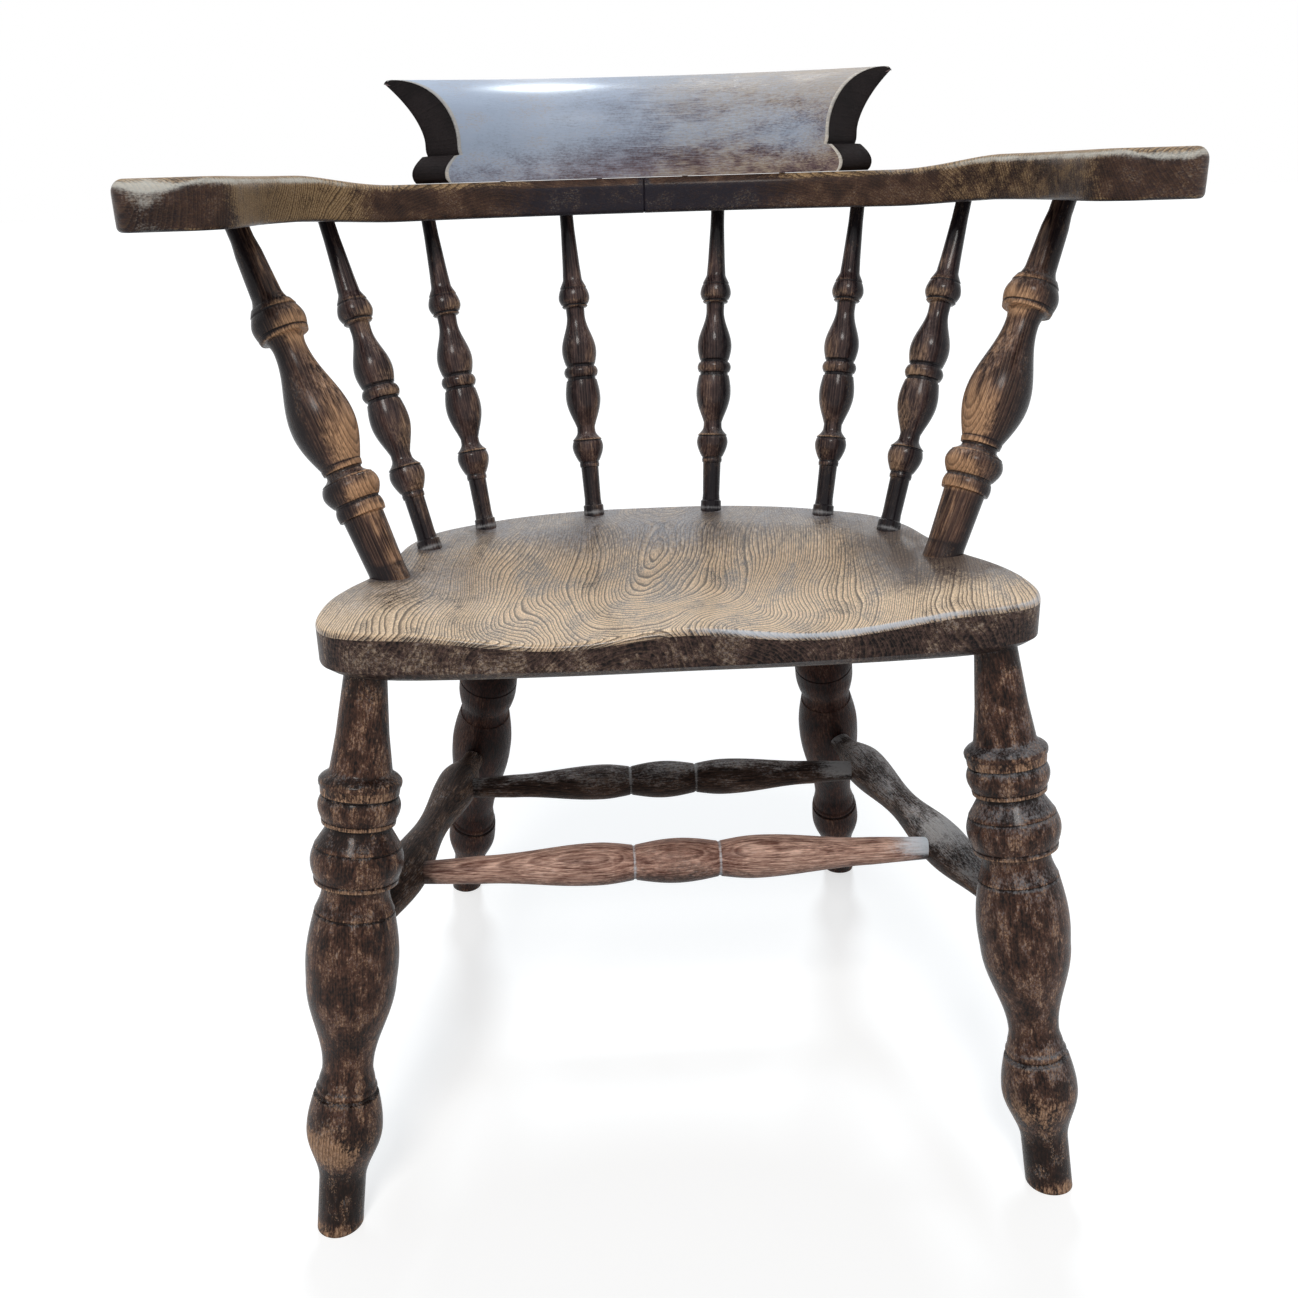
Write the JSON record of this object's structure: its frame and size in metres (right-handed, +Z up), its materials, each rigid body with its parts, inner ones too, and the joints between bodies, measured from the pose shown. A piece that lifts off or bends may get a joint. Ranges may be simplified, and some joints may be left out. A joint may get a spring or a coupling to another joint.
{
  "type": "captains chair",
  "caption": "Wooden captain's chair of the smoker's bow kind: a dished saddle seat on raked turned legs, turned uprights, a low horseshoe arm bow and a rolled crest rail.",
  "frame": {"origin": "on the floor, under the middle of the chair's bounding box", "axes": "+Z up, the sitter faces -Y, +X is to the right as seen from the front"},
  "size_m": [0.694, 0.5142, 0.7778],
  "materials": {
    "elm_seat": "worn polished mid brown elm with fine pale growth lines",
    "dark_beech": "aged dark brown stained beech, rubbed, crazed polish",
    "worn_beech": "stained beech worn back to reddish and golden brown",
    "bow_wood": "glossy aged dark brown, pale worn arrises",
    "steel": "dull"
  },
  "bodies": {
    "root": {"seat": "elm_seat", "leg_front_left": "dark_beech", "leg_front_right": "dark_beech", "leg_rear_left": "dark_beech", "leg_rear_right": "dark_beech", "side_stretcher_left": "dark_beech", "side_stretcher_right": "dark_beech", "cross_stretcher_front": "worn_beech", "cross_stretcher_rear": "dark_beech", "arm_post_left": "worn_beech", "arm_post_right": "worn_beech", "spindle_1": "dark_beech", "spindle_2": "dark_beech", "spindle_3": "dark_beech", "spindle_4": "dark_beech", "spindle_5": "dark_beech", "spindle_6": "dark_beech", "arm_left": "bow_wood", "arm_right": "bow_wood", "crest_rail": "bow_wood", "crest_screw_1": "steel", "crest_screw_2": "steel", "crest_screw_3": "steel", "crest_screw_4": "steel", "bow_dowel_front": "worn_beech", "bow_dowel_rear": "worn_beech"}
  },
  "joints": []
}
